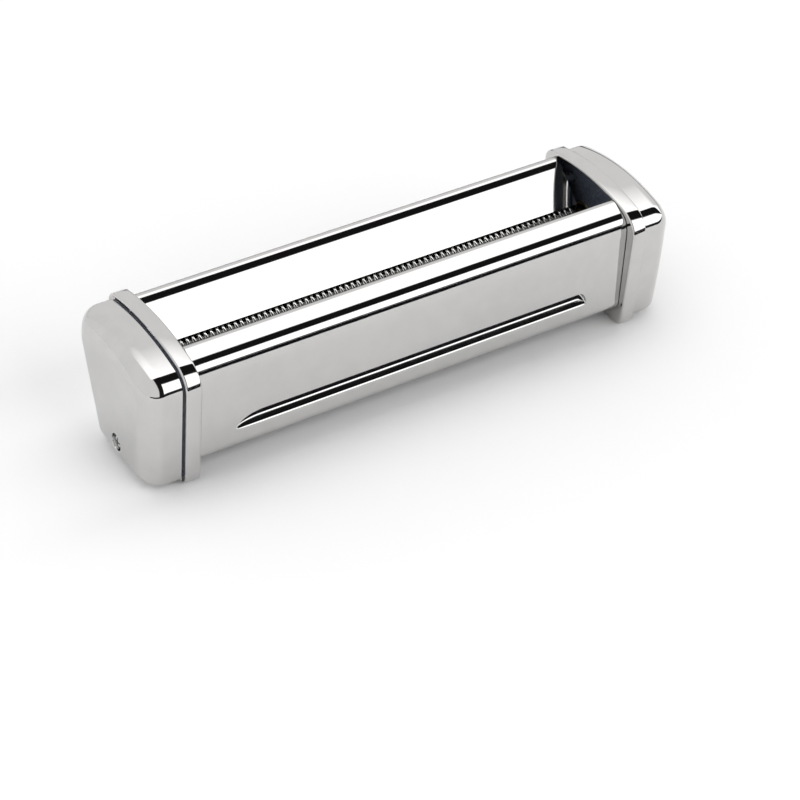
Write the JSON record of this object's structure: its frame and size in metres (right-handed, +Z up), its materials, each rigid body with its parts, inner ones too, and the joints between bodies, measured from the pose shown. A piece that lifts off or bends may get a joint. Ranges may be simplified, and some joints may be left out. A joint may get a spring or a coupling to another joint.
{
  "type": "pasta cutter roller head",
  "caption": "Hand-cranked pasta cutter head: intermeshing ridged rollers with combs under a hopper in a chromed sheet housing with domed end caps.",
  "frame": {"origin": "centre of the footprint, on the surface that the two collars stand on", "axes": "+X along the rollers towards the drive end, +Y to the back, +Z up"},
  "size_m": [0.275, 0.072, 0.066],
  "materials": {
    "chrome_shell": "mirror-polished chromium plate on sheet steel",
    "dark_plate": "dark blue-grey satin enamel",
    "cutter_steel": "bright turned steel",
    "gear_steel": "machined and oiled",
    "bronze": "sintered bronze",
    "zinc_steel": "bright zinc plate"
  },
  "bodies": {
    "housing": {"back_cover": "chrome_shell", "bush_back_left": "bronze", "bush_back_right": "bronze", "bush_front_left": "bronze", "bush_front_right": "bronze", "cap_screw_left": "zinc_steel", "cap_screw_right": "zinc_steel", "collar_left": "chrome_shell", "collar_right": "chrome_shell", "comb_back": "cutter_steel", "comb_front": "cutter_steel", "end_cap_left": "chrome_shell", "end_cap_right": "chrome_shell", "front_cover": "chrome_shell", "side_plate_left": "dark_plate", "side_plate_right": "dark_plate", "tie_rod_back_lower": "zinc_steel", "tie_rod_back_upper": "zinc_steel", "tie_rod_front_lower": "zinc_steel", "tie_rod_front_upper": "zinc_steel", "tie_rod_nut_back_lower_left": "zinc_steel", "tie_rod_nut_back_lower_right": "zinc_steel", "tie_rod_nut_back_upper_left": "zinc_steel", "tie_rod_nut_back_upper_right": "zinc_steel", "tie_rod_nut_front_lower_left": "zinc_steel", "tie_rod_nut_front_lower_right": "zinc_steel", "tie_rod_nut_front_upper_left": "zinc_steel", "tie_rod_nut_front_upper_right": "zinc_steel"},
    "front_roller": {"cutting_roller_front": "cutter_steel", "drive_socket": "gear_steel", "gear_front": "gear_steel", "retaining_ring_front_left": "zinc_steel", "retaining_ring_front_right": "zinc_steel"},
    "back_roller": {"cutting_roller_back": "cutter_steel", "gear_back": "gear_steel", "retaining_ring_back_left": "zinc_steel", "retaining_ring_back_right": "zinc_steel"}
  },
  "joints": [
    {"name": "front_roller_spin", "type": "hinge", "parent": "housing", "child": "front_roller", "pos_m": [0, -0.012, 0.0325], "axis": [1, 0, 0], "continuous": true},
    {"name": "back_roller_spin", "type": "hinge", "parent": "housing", "child": "back_roller", "pos_m": [0, 0.012, 0.0325], "axis": [1, 0, 0], "continuous": true}
  ],
  "couplings": [
    {"joint": "back_roller_spin", "follows": "front_roller_spin", "ratio": -1}
  ]
}
